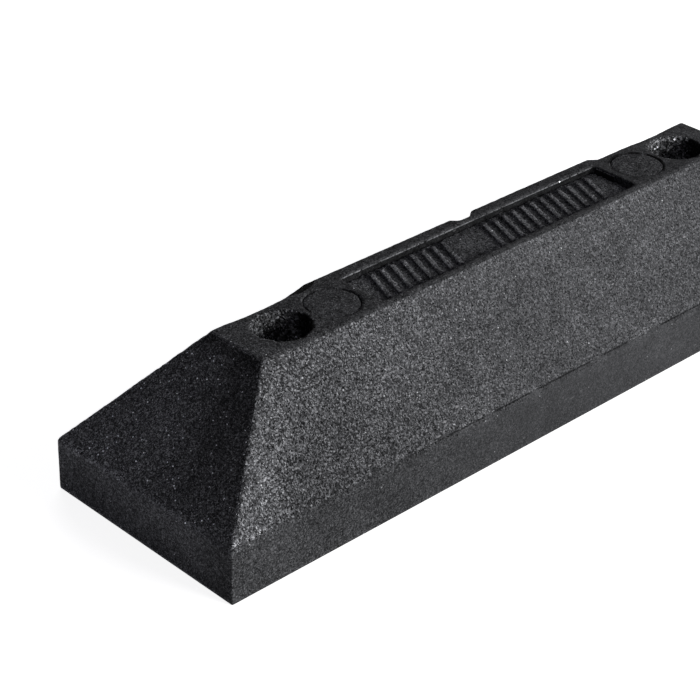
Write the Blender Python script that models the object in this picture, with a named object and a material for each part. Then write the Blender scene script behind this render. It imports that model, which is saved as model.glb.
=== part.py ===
"""Parking wheel stop: a moulded rubber block with its inlays and ground screws, at its real size.

Metres, +Z up. +X runs along the stop and its plain long side faces -Y. The origin is at the
middle of the underside, so the stop stands on the plane z = 0.
"""

import math

import bmesh
import bpy

# Moulded block: an upright skirt, four sloping faces and a flat top
LENGTH = 0.550
WIDTH = 0.150
HEIGHT = 0.100
SKIRT_HEIGHT = 0.033
TOP_LENGTH = 0.410
TOP_WIDTH = 0.0435
EDGE_ROUND = 0.0012

# Fixing holes: a wide bore for a socket wrench over a narrow one for the bush
HOLE_INSET = 0.033
HOLE_DIAMETER = 0.034
LEDGE_HEIGHT = 0.022

# Round blanks, each laid into the top beside a fixing hole
DISC_WEB = 0.0045
DISC_DIAMETER = 0.034
DISC_THICKNESS = 0.008
DISC_CHAMFER = 0.0006

# Long recess between the blanks, floored by a panel with a raised tread
RECESS_WEB = 0.005
RECESS_RIM = 0.0035
RECESS_DEPTH = 0.005
RECESS_CORNER = 0.003
PANEL_THICKNESS = 0.003
RIB_PITCH = 0.0085
RIB_WIDTH = 0.0034
RIB_HEIGHT = 0.0018
RIB_DRAFT = 0.0004
RIB_LEAN = math.radians(22)
RIB_SIDE_MARGIN = 0.0045
TREAD_END_MARGIN = 0.009
TREAD_GAP = 0.020
TREAD_GAP_CENTRE = -0.018

# Lips that thicken the rear top edge behind the recess
LIP_REACH = 0.0046
LIP_RAMP = 0.0055
LIP_LONG_RAMP = 0.020
LIP_GAP = 0.0075
LIP_GAP_CENTRE = -0.002
LEFT_LIP_OVERRUN = 0.040
RIGHT_LIP_OVERRUN = 0.0095

# Flanged steel bush in each fixing hole
BUSH_WALL = 0.0026
FLANGE_THICKNESS = 0.0025
FLANGE_CLEARANCE = 0.0008

# Hexagon-head ground screw with its captive washer
SCREW_DIAMETER = 0.010
SCREW_CORE = 0.0072
SCREW_LENGTH = 0.065
SCREW_CLEARANCE = 0.0004
THREAD_PITCH = 0.0045
THREAD_LENGTH = 0.048
THREAD_RIDGE_SHARE = 0.625
POINT_LENGTH = 0.007
POINT_DIAMETER = 0.0016
HEAD_FLATS = 0.017
HEAD_HEIGHT = 0.007
HEAD_ROUND = 0.0008
WASHER_THICKNESS = 0.0025
WASHER_CLEARANCE = 0.003

# Gap left where one piece is seated on or in another
SEAT_GAP = 0.0003

# How finely round shapes are divided
ROUND_SIDES = 48
SCREW_SIDES = 20
ROWS_PER_TURN = 6
CORNER_STEPS = 5
CUT_MARGIN = 0.005

# Places that follow from the sizes above
HOLE_X = TOP_LENGTH / 2 - HOLE_INSET
DISC_X = HOLE_X - HOLE_DIAMETER / 2 - DISC_WEB - DISC_DIAMETER / 2
RECESS_LENGTH = 2 * (DISC_X - DISC_DIAMETER / 2 - RECESS_WEB)
RECESS_WIDTH = TOP_WIDTH - 2 * RECESS_RIM
PANEL_TOP = HEIGHT - RECESS_DEPTH
SCREW_BORE_RADIUS = SCREW_DIAMETER / 2 + SCREW_CLEARANCE
BUSH_RADIUS = SCREW_BORE_RADIUS + BUSH_WALL
SCREW_HEAD_Z = SEAT_GAP + SCREW_LENGTH
WASHER_Z = SCREW_HEAD_Z - SEAT_GAP - WASHER_THICKNESS
SIDES = (("left", -1), ("right", 1))


def clear_scene():
    for thing in list(bpy.data.objects):
        bpy.data.objects.remove(thing, do_unlink=True)


def finish(name, colour, roughness, metallic):
    """A plain Principled material."""
    material = bpy.data.materials.new(name)
    material.use_nodes = True
    shader = material.node_tree.nodes["Principled BSDF"]
    shader.inputs["Base Color"].default_value = (*colour, 1.0)
    shader.inputs["Roughness"].default_value = roughness
    shader.inputs["Metallic"].default_value = metallic
    return material


def add_object(name, shape, location=(0, 0, 0)):
    """An object at a place, from a bmesh whose faces are turned outwards and shaded smooth."""
    bmesh.ops.recalc_face_normals(shape, faces=shape.faces)
    mesh = bpy.data.meshes.new(name)
    shape.to_mesh(mesh)
    shape.free()
    mesh.shade_smooth()
    mesh.set_sharp_from_angle(angle=math.radians(30))
    thing = bpy.data.objects.new(name, mesh)
    thing.location = location
    bpy.context.scene.collection.objects.link(thing)
    return thing


def add_piece(name, shape, material, parent, location=(0, 0, 0)):
    piece = add_object(name, shape, location)
    piece.data.materials.append(material)
    piece.parent = parent
    return piece


def add_helper(name, shape, location=(0, 0, 0)):
    """A shape that only cuts or joins another piece."""
    helper = add_object(name, shape, location)
    helper.hide_render = True
    helper.display_type = "WIRE"
    return helper


def combine(piece, helper, operation):
    modifier = piece.modifiers.new(helper.name, "BOOLEAN")
    modifier.operation = operation
    modifier.solver = "EXACT"
    modifier.object = helper


def prism(outline, low, high, draft=0.0):
    """A closed solid over an outline of (x, y) points, drawn in towards its middle by draft at the top."""
    shape = bmesh.new()
    middle_x = sum(x for x, y in outline) / len(outline)
    middle_y = sum(y for x, y in outline) / len(outline)
    foot = []
    crown = []
    for x, y in outline:
        foot.append(shape.verts.new((x, y, low)))
        inward_x = math.copysign(draft, middle_x - x)
        inward_y = math.copysign(draft, middle_y - y)
        crown.append(shape.verts.new((x + inward_x, y + inward_y, high)))
    shape.faces.new(foot)
    shape.faces.new(crown)
    for i in range(len(outline)):
        j = (i + 1) % len(outline)
        shape.faces.new((foot[i], foot[j], crown[j], crown[i]))
    return shape


def turned(profile, sides, hollow=False):
    """A solid turned about Z from (radius, height) points. A hollow one is a ring with a closed profile."""
    shape = bmesh.new()
    rings = []
    for radius, height in profile:
        ring = []
        for i in range(sides):
            angle = 2 * math.pi * i / sides
            ring.append(shape.verts.new((radius * math.cos(angle), radius * math.sin(angle), height)))
        rings.append(ring)
    pairs = list(zip(rings, rings[1:]))
    if hollow:
        pairs.append((rings[-1], rings[0]))
    else:
        shape.faces.new(rings[0])
        shape.faces.new(rings[-1])
    for low, high in pairs:
        for i in range(sides):
            j = (i + 1) % sides
            shape.faces.new((low[i], low[j], high[j], high[i]))
    return shape


def rounded_rectangle(length, width, corner):
    """Points of a rectangle about the origin with rounded corners."""
    points = []
    for quarter, (sign_x, sign_y) in enumerate(((1, 1), (-1, 1), (-1, -1), (1, -1))):
        centre_x = sign_x * (length / 2 - corner)
        centre_y = sign_y * (width / 2 - corner)
        for step in range(CORNER_STEPS + 1):
            angle = math.pi / 2 * (quarter + step / CORNER_STEPS)
            points.append((centre_x + corner * math.cos(angle), centre_y + corner * math.sin(angle)))
    return points


def lip_spans():
    """Where each lip starts, is full, stops being full and ends, along X."""
    left_start = -RECESS_LENGTH / 2 - LEFT_LIP_OVERRUN
    left_end = LIP_GAP_CENTRE - LIP_GAP / 2
    right_start = LIP_GAP_CENTRE + LIP_GAP / 2
    right_end = RECESS_LENGTH / 2 + RIGHT_LIP_OVERRUN
    return (
        (left_start, left_start + LIP_LONG_RAMP, left_end - LIP_RAMP, left_end),
        (right_start, right_start + LIP_RAMP, right_end - LIP_RAMP, right_end),
    )


def block_shape():
    """The outside of the moulded block, with the lips on its rear top edge."""
    shape = bmesh.new()

    def corners(length, width, height):
        return [
            shape.verts.new((sign_x * length / 2, sign_y * width / 2, height))
            for sign_x, sign_y in ((-1, -1), (1, -1), (1, 1), (-1, 1))
        ]

    base = corners(LENGTH, WIDTH, 0)
    skirt = corners(LENGTH, WIDTH, SKIRT_HEIGHT)
    top = corners(TOP_LENGTH, TOP_WIDTH, HEIGHT)

    rear = TOP_WIDTH / 2
    slope_fall = (HEIGHT - SKIRT_HEIGHT) / ((WIDTH - TOP_WIDTH) / 2)
    lip_foot = HEIGHT - LIP_REACH * slope_fall
    rear_edge = [top[3]]
    slope_edge = [top[3]]
    for start, full, falling, end in lip_spans():
        first = shape.verts.new((start, rear, HEIGHT))
        last = shape.verts.new((end, rear, HEIGHT))
        crown = [shape.verts.new((x, rear + LIP_REACH, HEIGHT)) for x in (full, falling)]
        foot = [shape.verts.new((x, rear + LIP_REACH, lip_foot)) for x in (full, falling)]
        shape.faces.new((first, crown[0], foot[0]))
        shape.faces.new((crown[0], crown[1], foot[1], foot[0]))
        shape.faces.new((crown[1], last, foot[1]))
        rear_edge += [first, *crown, last]
        slope_edge += [first, *foot, last]
    rear_edge.append(top[2])
    slope_edge.append(top[2])

    shape.faces.new(base)
    for i in range(4):
        j = (i + 1) % 4
        shape.faces.new((base[i], base[j], skirt[j], skirt[i]))
    for i in (0, 1, 3):
        j = (i + 1) % 4
        shape.faces.new((skirt[i], skirt[j], top[j], top[i]))
    shape.faces.new((skirt[2], skirt[3], *slope_edge))
    shape.faces.new((top[0], *rear_edge, top[1]))
    return shape


def add_block(material, parent):
    block = add_piece("rubber_block", block_shape(), material, parent)
    rounding = block.modifiers.new("edge_rounding", "BEVEL")
    rounding.limit_method = "ANGLE"
    rounding.angle_limit = math.radians(15)
    rounding.width = EDGE_ROUND
    rounding.segments = 2
    rounding.use_clamp_overlap = False

    pocket = rounded_rectangle(RECESS_LENGTH, RECESS_WIDTH, RECESS_CORNER)
    pocket_floor = PANEL_TOP - PANEL_THICKNESS - SEAT_GAP
    combine(block, add_helper("recess_cut", prism(pocket, pocket_floor, HEIGHT + CUT_MARGIN)), "DIFFERENCE")

    disc_floor = HEIGHT - DISC_THICKNESS - 2 * SEAT_GAP
    disc_radius = DISC_DIAMETER / 2
    disc_cut = ((disc_radius, disc_floor), (disc_radius, HEIGHT + CUT_MARGIN))
    hole_radius = HOLE_DIAMETER / 2
    sleeve_radius = BUSH_RADIUS + SEAT_GAP
    hole_cut = (
        (sleeve_radius, -CUT_MARGIN),
        (sleeve_radius, LEDGE_HEIGHT),
        (hole_radius, LEDGE_HEIGHT),
        (hole_radius, HEIGHT + CUT_MARGIN),
    )
    for side, sign in SIDES:
        disc = add_helper(f"{side}_disc_cut", turned(disc_cut, ROUND_SIDES), (sign * DISC_X, 0, 0))
        hole = add_helper(f"{side}_hole_cut", turned(hole_cut, ROUND_SIDES), (sign * HOLE_X, 0, 0))
        combine(block, disc, "DIFFERENCE")
        combine(block, hole, "DIFFERENCE")


def rib_outlines():
    """Outlines of the slanting tread ribs, in two runs with a bare stretch between them."""
    half = RECESS_WIDTH / 2 - RIB_SIDE_MARGIN
    shift = half * math.tan(RIB_LEAN)
    room = RIB_WIDTH / 2 + shift
    ends = RECESS_LENGTH / 2 - TREAD_END_MARGIN
    runs = (
        (-ends, TREAD_GAP_CENTRE - TREAD_GAP / 2),
        (TREAD_GAP_CENTRE + TREAD_GAP / 2, ends),
    )
    outlines = []
    for first, last in runs:
        span = last - first - 2 * room
        count = max(1, int(span / RIB_PITCH) + 1)
        start = (first + last - (count - 1) * RIB_PITCH) / 2
        for i in range(count):
            x = start + i * RIB_PITCH
            outlines.append(
                (
                    (x - shift - RIB_WIDTH / 2, -half),
                    (x - shift + RIB_WIDTH / 2, -half),
                    (x + shift + RIB_WIDTH / 2, half),
                    (x + shift - RIB_WIDTH / 2, half),
                )
            )
    return outlines


def add_panel(material, parent):
    length = RECESS_LENGTH - 2 * SEAT_GAP
    width = RECESS_WIDTH - 2 * SEAT_GAP
    outline = rounded_rectangle(length, width, RECESS_CORNER - SEAT_GAP)
    plate = prism(outline, PANEL_TOP - PANEL_THICKNESS, PANEL_TOP)
    panel = add_piece("top_panel", plate, material, parent)

    ribs = bmesh.new()
    for outline in rib_outlines():
        rib = prism(outline, PANEL_TOP - PANEL_THICKNESS / 2, PANEL_TOP + RIB_HEIGHT, RIB_DRAFT)
        mesh = bpy.data.meshes.new("rib")
        rib.to_mesh(mesh)
        rib.free()
        ribs.from_mesh(mesh)
        bpy.data.meshes.remove(mesh)
    combine(panel, add_helper("tread_ribs", ribs), "UNION")


def add_disc(side, sign, material, parent):
    radius = DISC_DIAMETER / 2 - SEAT_GAP
    profile = (
        (radius, 0),
        (radius, DISC_THICKNESS - DISC_CHAMFER),
        (radius - DISC_CHAMFER, DISC_THICKNESS),
    )
    place = (sign * DISC_X, 0, HEIGHT - DISC_THICKNESS - SEAT_GAP)
    add_piece(f"{side}_disc", turned(profile, ROUND_SIDES), material, parent, place)


def add_bush(side, sign, material, parent):
    """A sleeve that ends just above the ground, with its flange seated on the ledge in the hole."""
    flange_radius = HOLE_DIAMETER / 2 - FLANGE_CLEARANCE
    flange_low = LEDGE_HEIGHT + SEAT_GAP
    flange_high = flange_low + FLANGE_THICKNESS
    profile = (
        (SCREW_BORE_RADIUS, SEAT_GAP),
        (BUSH_RADIUS, SEAT_GAP),
        (BUSH_RADIUS, flange_low),
        (flange_radius, flange_low),
        (flange_radius, flange_high),
        (SCREW_BORE_RADIUS, flange_high),
    )
    add_piece(f"{side}_bush", turned(profile, ROUND_SIDES, True), material, parent, (sign * HOLE_X, 0, 0))


def add_washer(side, sign, material, parent):
    radius = HOLE_DIAMETER / 2 - WASHER_CLEARANCE
    profile = (
        (SCREW_BORE_RADIUS, 0),
        (radius, 0),
        (radius, WASHER_THICKNESS),
        (SCREW_BORE_RADIUS, WASHER_THICKNESS),
    )
    place = (sign * HOLE_X, 0, WASHER_Z)
    add_piece(f"{side}_washer", turned(profile, ROUND_SIDES, True), material, parent, place)


def shank_radius(height, angle):
    """Radius of the screw below its head: a cone at the point, a right-hand thread, then a plain neck."""
    if height >= THREAD_LENGTH:
        return SCREW_DIAMETER / 2
    turn = (height / THREAD_PITCH - angle / (2 * math.pi)) % 1.0
    ridge = max(0.0, 1.0 - abs(2 * turn - 1.0) / THREAD_RIDGE_SHARE)
    threaded = (SCREW_CORE + (SCREW_DIAMETER - SCREW_CORE) * ridge) / 2
    along_point = min(1.0, height / POINT_LENGTH)
    cone = (POINT_DIAMETER + (SCREW_DIAMETER - POINT_DIAMETER) * along_point) / 2
    return min(threaded, cone)


def shank_shape():
    """The point, thread and neck, closed at both ends and running up into the head."""
    shape = bmesh.new()
    threaded_rows = math.ceil(THREAD_LENGTH / THREAD_PITCH * ROWS_PER_TURN)
    heights = [THREAD_LENGTH * i / threaded_rows for i in range(threaded_rows + 1)]
    heights.append(SCREW_LENGTH + HEAD_HEIGHT / 2)
    rings = []
    for height in heights:
        ring = []
        for i in range(SCREW_SIDES):
            angle = 2 * math.pi * i / SCREW_SIDES
            radius = shank_radius(height, angle)
            ring.append(shape.verts.new((radius * math.cos(angle), radius * math.sin(angle), height)))
        rings.append(ring)
    shape.faces.new(rings[0])
    shape.faces.new(rings[-1])
    for low, high in zip(rings, rings[1:]):
        for i in range(SCREW_SIDES):
            j = (i + 1) % SCREW_SIDES
            shape.faces.new((low[i], low[j], high[j], high[i]))
    return shape


def head_shape():
    """A hexagon head with its upper edges eased."""
    corner = HEAD_FLATS / math.sqrt(3)
    outline = [(corner * math.cos(math.pi / 3 * i), corner * math.sin(math.pi / 3 * i)) for i in range(6)]
    shape = prism(outline, SCREW_LENGTH, SCREW_LENGTH + HEAD_HEIGHT)
    highest = SCREW_LENGTH + HEAD_HEIGHT
    rim = [e for e in shape.edges if all(math.isclose(v.co.z, highest, abs_tol=1e-6) for v in e.verts)]
    bmesh.ops.bevel(shape, geom=rim, offset=HEAD_ROUND, segments=2, profile=0.5, affect="EDGES")
    return shape


def add_screw(side, sign, material, parent):
    """A screw standing in its hole with its point just above the ground."""
    place = (sign * HOLE_X, 0, SEAT_GAP)
    screw = add_piece(f"{side}_screw", shank_shape(), material, parent, place)
    combine(screw, add_helper(f"{side}_head", head_shape(), place), "UNION")


def main():
    clear_scene()
    granulate = finish("rubber_granulate", (0.024, 0.024, 0.026), 0.85, 0.0)
    panel_rubber = finish("panel_rubber", (0.020, 0.020, 0.022), 0.80, 0.0)
    disc_rubber = finish("disc_rubber", (0.022, 0.022, 0.024), 0.80, 0.0)
    bush_steel = finish("bush_steel", (0.46, 0.45, 0.43), 0.45, 1.0)
    washer_steel = finish("washer_steel", (0.56, 0.55, 0.52), 0.38, 1.0)
    screw_steel = finish("screw_steel", (0.52, 0.51, 0.49), 0.35, 1.0)

    stop = bpy.data.objects.new("wheel_stop", None)
    bpy.context.scene.collection.objects.link(stop)
    add_block(granulate, stop)
    add_panel(panel_rubber, stop)
    for side, sign in SIDES:
        add_disc(side, sign, disc_rubber, stop)
        add_bush(side, sign, bush_steel, stop)
        add_washer(side, sign, washer_steel, stop)
        add_screw(side, sign, screw_steel, stop)


if __name__ == "__main__":
    main()
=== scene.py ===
# Looks of a moulded rubber parking wheel stop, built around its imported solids.
# Each operator makes one piece, or one group of like pieces, and the last one sets up the studio.
# Lengths are in metres, +X runs along the stop, +Y is the side with the lips and +Z is up.

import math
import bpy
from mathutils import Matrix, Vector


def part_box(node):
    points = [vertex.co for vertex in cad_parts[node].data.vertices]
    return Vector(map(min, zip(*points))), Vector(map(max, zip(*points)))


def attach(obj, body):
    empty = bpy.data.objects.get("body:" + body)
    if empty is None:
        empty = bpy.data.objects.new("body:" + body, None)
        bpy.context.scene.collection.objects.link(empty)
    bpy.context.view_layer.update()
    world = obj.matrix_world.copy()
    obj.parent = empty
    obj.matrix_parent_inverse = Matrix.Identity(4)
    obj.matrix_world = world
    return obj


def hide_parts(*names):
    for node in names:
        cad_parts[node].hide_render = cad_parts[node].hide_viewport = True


bl_info = {
    "name": "Parking Wheel Stop",
    "version": (1, 0, 0),
    "blender": (4, 5, 0),
    "location": "View3D > Sidebar > Wheel Stop",
    "description": "Rubber granulate wheel stop with its fixings, in a plain pale studio",
    "category": "Add Mesh",
}

from functools import partial
from types import SimpleNamespace

import bmesh
import bpy
import numpy as np
from bpy.props import FloatProperty, FloatVectorProperty, IntProperty, PointerProperty
from bpy.types import NodeSocket, Operator, Panel, PropertyGroup
from mathutils import Matrix, Vector

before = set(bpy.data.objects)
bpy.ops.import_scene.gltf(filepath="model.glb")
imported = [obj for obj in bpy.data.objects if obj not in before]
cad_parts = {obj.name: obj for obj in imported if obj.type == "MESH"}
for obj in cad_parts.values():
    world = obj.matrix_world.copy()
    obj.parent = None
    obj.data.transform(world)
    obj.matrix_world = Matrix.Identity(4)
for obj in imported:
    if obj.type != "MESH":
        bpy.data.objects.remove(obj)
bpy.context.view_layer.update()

# Places on the stop
SIDES = ("left", "right")
BLOCK_LOW, BLOCK_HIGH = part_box("rubber_block")
PANEL_LOW, PANEL_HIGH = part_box("top_panel")
BLANK_LOW, BLANK_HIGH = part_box("right_disc")
BLANK_CENTRE = (BLANK_LOW.x + BLANK_HIGH.x) / 2
BLANK_RADIUS = (BLANK_HIGH.x - BLANK_LOW.x) / 2
HEIGHT = BLOCK_HIGH.z
SKIRT_HEIGHT = 0.033
LEDGE_HEIGHT = 0.022
HOLE_RADIUS = 0.017
HOLE_CENTRES = [sum(corner.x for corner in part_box(f"{side}_screw")) / 2 for side in SIDES]
TOP_HALF_LENGTH = 0.205
TOP_HALF_WIDTH = 0.02175
# The left lip starts, is full and ends its painted shade at these places along the stop
LIP_START, LIP_FULL, LIP_SHADE_END = -0.1515, -0.1315, -0.119
LIP_REACH = 0.0046
RIM_BREAK_SIDE = (-0.5, 0.866)

# Make of the rubber: the mix is coarse up to one place along the stop and even from another
COARSE_UP_TO, EVEN_FROM = -0.20, -0.04
LEAST_COARSE = 0.25
END_GRAIN, FINE_GRAIN, WALL_GRAIN = 0.8, 0.9, 1.35
# Brightness of the painted glints on the end slopes and on the other faces
END_GLINT_GAIN, GLINT_GAIN = 22.0, 5.5
STRAND_SHAPE = (0.5, 1.15, 1.15)
CRACK_SPACING, CRACK_WIDTH = 0.012, 0.0006
RUBBER_SHINE = 0.012
BUMP_STRENGTH, BUMP_DEPTH = 0.5, 0.0003
TOP_SKIN, WALL_SKIN = 0.0011, 0.0012
SHARP_BULGE = 0.00045
SKIRT_STIFFNESS, TOP_STIFFNESS, RECESS_LOOSENESS = 0.55, 0.5, 0.25
TEAR_LUMPS = (0.0030, 0.0055)

# Make of the fixings
TURN_STEPS = 72
CORNER_STEPS = 4
SCREW_TURNS = np.linspace(0.0, 2.0 * math.pi, 48, endpoint=False)
THREAD_ROWS = 12
THREAD_SHARE = 0.625
HEAD_EASE = 0.0003
HEAD_DISH = 0.0005
HEAD_CHAMFER = math.radians(30.0)
SHARP_ANGLE = math.radians(28.0)

# Make of the studio
FLOOR_SIZE, FLOOR_DROP = 8.0, 0.0004
FLOOR_GREY = (0.80, 0.80, 0.80, 1.0)
WHITE = (1.0, 1.0, 1.0, 1.0)
ROOM_TINT = (0.95, 0.94, 1.10, 1.0)
LIGHT_DISTANCE = 2.0
KEY_BOX, FILL_BOX = (1.1, 0.8), (1.4, 1.0)
SENSOR_WIDTH = 36.0

# Kinds of setting
LENGTH = {"unit": 'LENGTH', "precision": 5}
COLOUR = {"size": 3, "min": 0.0, "max": 1.0, "subtype": 'COLOR'}
ANGLE = {"subtype": 'ANGLE', "unit": 'ROTATION'}
DIRECTION = {"size": 3, "subtype": 'DIRECTION'}


# Properties that a user would change

class GranulateSettings(PropertyGroup):
    """Sizes of the rubber granulate and how far its surface is worn"""

    block_spacing: FloatProperty(
        name="Block spacing", description="Distance between points on the block's skin",
        default=0.00145, min=0.0006, **LENGTH)
    trim_spacing: FloatProperty(
        name="Trim spacing", description="Distance between points on the tread panel and blanks",
        default=0.0007, min=0.0004, **LENGTH)
    block_faces: IntProperty(
        name="Block triangles", description="Triangles kept on the block once its skin is thinned",
        default=198000, min=20000)
    lump: FloatProperty(
        name="Lump size", description="Width of the clumps of granules that stand out of the skin",
        default=0.0034, min=0.001, **LENGTH)
    relief: FloatProperty(
        name="Relief", description="Height of the clumps above the gaps between them",
        default=0.00042, min=0.0, **LENGTH)
    chip: FloatProperty(
        name="Chip depth", description="How deep the moulded edges have crumbled",
        default=0.00045, min=0.0, **LENGTH)
    tear: FloatProperty(
        name="Tear depth", description="How rough the walls of the fixing holes are",
        default=0.0016, min=0.0, **LENGTH)
    rim_break: FloatProperty(
        name="Broken rim", description="How far the rear left rims of the holes have crumbled away",
        default=0.0018, min=0.0, **LENGTH)
    sag: FloatProperty(
        name="Web sag", description="How far the thin webs behind the fixing holes have sunk",
        default=0.0008, min=0.0, **LENGTH)
    grain: FloatProperty(
        name="Grain size", description="Width of one rubber granule",
        default=0.00092, min=0.0004, **LENGTH)
    rubber: FloatVectorProperty(
        name="Rubber", description="Colour of the granules on the sloped sides",
        default=(0.098, 0.0993, 0.1035), **COLOUR)
    fleck: FloatVectorProperty(
        name="Fleck", description="Colour of the pale stray flakes",
        default=(0.40, 0.40, 0.41), **COLOUR)
    seed: IntProperty(
        name="Seed", description="Which arrangement of lumps and chips is used", default=7, min=0)


class FixingSettings(PropertyGroup):
    """Sizes and colour of the ground screws, washers and sleeves"""

    bore: FloatProperty(
        name="Bore", description="Width of the hole through the washers and sleeves",
        default=0.0108, min=0.003, **LENGTH)
    sleeve: FloatProperty(
        name="Sleeve width", description="Width of the sleeves below their flanges",
        default=0.016, min=0.004, **LENGTH)
    flange: FloatProperty(
        name="Flange thickness", description="Thickness of the sleeves' flanges",
        default=0.0025, min=0.0005, **LENGTH)
    eased: FloatProperty(
        name="Eased edges", description="How far the edges of the washers and sleeves are rounded",
        default=0.0005, min=0.0001, **LENGTH)
    pitch: FloatProperty(
        name="Thread pitch", description="Distance between two turns of the thread",
        default=0.0045, min=0.001, **LENGTH)
    core: FloatProperty(
        name="Core diameter", description="Diameter of the shank between the thread's turns",
        default=0.0072, min=0.002, **LENGTH)
    shank: FloatProperty(
        name="Shank diameter", description="Diameter over the thread",
        default=0.010, min=0.003, **LENGTH)
    thread_length: FloatProperty(
        name="Thread length", description="Length of the shank that has a thread",
        default=0.048, min=0.005, **LENGTH)
    point: FloatProperty(
        name="Point length", description="Length of the cone at the end of the screw",
        default=0.007, min=0.001, **LENGTH)
    point_width: FloatProperty(
        name="Point width", description="Width of the blunt end of the cone",
        default=0.0016, min=0.0002, **LENGTH)
    flats: FloatProperty(
        name="Head width", description="Width of the hexagon head over its flats",
        default=0.017, min=0.005, **LENGTH)
    head: FloatProperty(
        name="Head height", description="Height of the hexagon head",
        default=0.007, min=0.002, **LENGTH)
    zinc: FloatVectorProperty(
        name="Zinc", description="Colour of the zinc plating",
        default=(0.60, 0.60, 0.585), **COLOUR)


class StudioSettings(PropertyGroup):
    """Camera and light of the plain studio"""

    camera_place: FloatVectorProperty(
        name="Camera place", description="Where the camera stands",
        default=(-0.8978, -0.7953, 0.7261), size=3, subtype='TRANSLATION', unit='LENGTH')
    azimuth: FloatProperty(
        name="Azimuth", description="Turn of the view about the upright, from the front",
        default=math.radians(-44.413), **ANGLE)
    elevation: FloatProperty(
        name="Elevation", description="How far the camera looks down",
        default=math.radians(30.795), **ANGLE)
    roll: FloatProperty(
        name="Roll", description="Turn of the camera about its own line of sight",
        default=math.radians(1.347), **ANGLE)
    lens: FloatProperty(
        name="Lens", description="Focal length in millimetres", default=115.27, min=10.0)
    key_from: FloatVectorProperty(
        name="Key from", description="Direction of the main soft light, seen from the stop",
        default=(0.30, -0.90, 0.31), **DIRECTION)
    key_level: FloatProperty(
        name="Key level", description="Brightness of white facing the main light",
        default=1.0, min=0.0)
    fill_from: FloatVectorProperty(
        name="Fill from", description="Direction of the weak light behind the stop",
        default=(0.55, 0.75, 0.45), **DIRECTION)
    fill_level: FloatProperty(
        name="Fill level", description="Brightness of white facing the weak light",
        default=0.25, min=0.0)
    ambient: FloatProperty(
        name="Ambient", description="Level of the even light from all around",
        default=0.085, min=0.0)


# Meshes and their points

def link_object(name, mesh):
    piece = bpy.data.objects.new(name, mesh)
    bpy.context.scene.collection.objects.link(piece)
    return piece


def apply_modifiers(piece):
    depsgraph = bpy.context.evaluated_depsgraph_get()
    made = bpy.data.meshes.new_from_object(piece.evaluated_get(depsgraph))
    old = piece.data
    piece.modifiers.clear()
    piece.data = made
    bpy.data.meshes.remove(old)
    made.name = piece.name


def even_skin(node, name, spacing):
    """A new object with the shape and sharp edges of a CAD node and points at an even spacing."""
    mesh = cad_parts[node].data.copy()
    mesh.materials.clear()
    shape = bmesh.new()
    shape.from_mesh(mesh)
    bmesh.ops.remove_doubles(shape, verts=shape.verts, dist=1e-6)
    shape.to_mesh(mesh)
    shape.free()
    piece = link_object(name, mesh)
    cells = max(piece.dimensions) / spacing
    remesh = piece.modifiers.new("Even skin", 'REMESH')
    remesh.mode = 'SHARP'
    remesh.octree_depth = math.ceil(math.log2(cells))
    remesh.scale = min(0.99, cells / 2**remesh.octree_depth)
    remesh.use_remove_disconnected = False
    remesh.use_smooth_shade = True
    apply_modifiers(piece)
    if not piece.data.vertices:
        raise RuntimeError(f"{name}: the skin of {node} came out empty")
    return piece


def read_array(items, field, width, kind=float):
    values = np.empty(len(items) * width, kind)
    items.foreach_get(field, values)
    return values.reshape(-1, width)


def read_points(mesh):
    return read_array(mesh.vertices, "co", 3)


def read_normals(mesh):
    return read_array(mesh.vertex_normals, "vector", 3)


def write_points(mesh, points):
    mesh.vertices.foreach_set("co", points.ravel())
    mesh.update()


def write_mask(mesh, name, values):
    layer = mesh.attributes.new(name, 'FLOAT', 'POINT')
    layer.data.foreach_set("value", np.ascontiguousarray(values, np.float32))


def soften(points, edges, passes, pull=0.6):
    """Moves each point a share of the way to the middle of its neighbours."""
    count = len(points)
    share = np.bincount(edges.ravel(), minlength=count)[:, None]
    for _ in range(passes):
        total = np.empty_like(points)
        for axis in range(3):
            line = points[:, axis]
            total[:, axis] = (
                np.bincount(edges[:, 0], line[edges[:, 1]], count)
                + np.bincount(edges[:, 1], line[edges[:, 0]], count))
        points = (1.0 - pull) * points + pull * total / share
    return points


def cell_random(cells, seed):
    """One repeatable number from 0 to 1 for each whole-number cell."""
    value = np.full(cells.shape[:-1], seed + 1, np.uint64)
    for axis in range(3):
        value ^= cells[..., axis].astype(np.int64).astype(np.uint64)
        value *= np.uint64(0x9E3779B97F4A7C15)
        value ^= value >> np.uint64(29)
        value *= np.uint64(0xBF58476D1CE4E5B9)
        value ^= value >> np.uint64(32)
    return (value >> np.uint64(40)).astype(float) / 2**24


def granules(points, size, seed):
    """Distance to the nearest granule's middle, in granule widths, and that granule's own number."""
    scaled = points / size
    home = np.floor(scaled)
    nearest = np.full(len(points), np.inf)
    number = np.zeros(len(points))
    for step in np.ndindex(3, 3, 3):
        cell = home + np.array(step) - 1
        middle = cell + np.stack([cell_random(cell, seed + 11 * axis) for axis in range(3)], 1)
        reach = np.linalg.norm(scaled - middle, axis=1)
        closer = reach < nearest
        nearest[closer] = reach[closer]
        number[closer] = cell_random(cell, seed + 53)[closer]
    return nearest, number


def lumps(points, size, seed):
    """Height of granules of one size, from about -0.5 to 0.5."""
    reach, number = granules(points, size, seed)
    return 0.65 * (number - 0.5) + 0.7 * (0.5 - np.clip(reach, 0.0, 1.0))


def ease(values, low, high):
    """Smooth step from 0 at low to 1 at high."""
    share = np.clip((values - low) / (high - low), 0.0, 1.0)
    return share * share * (3.0 - 2.0 * share)


# Shader nodes

def add_node(tree, kind, inputs=None, **settings):
    """A node with its settings, and with values or links for its named or numbered inputs."""
    node = tree.nodes.new(kind)
    for name, value in settings.items():
        setattr(node, name, value)
    for socket, value in (inputs or {}).items():
        if isinstance(value, NodeSocket):
            tree.links.new(value, node.inputs[socket])
        else:
            node.inputs[socket].default_value = value
    return node


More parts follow.
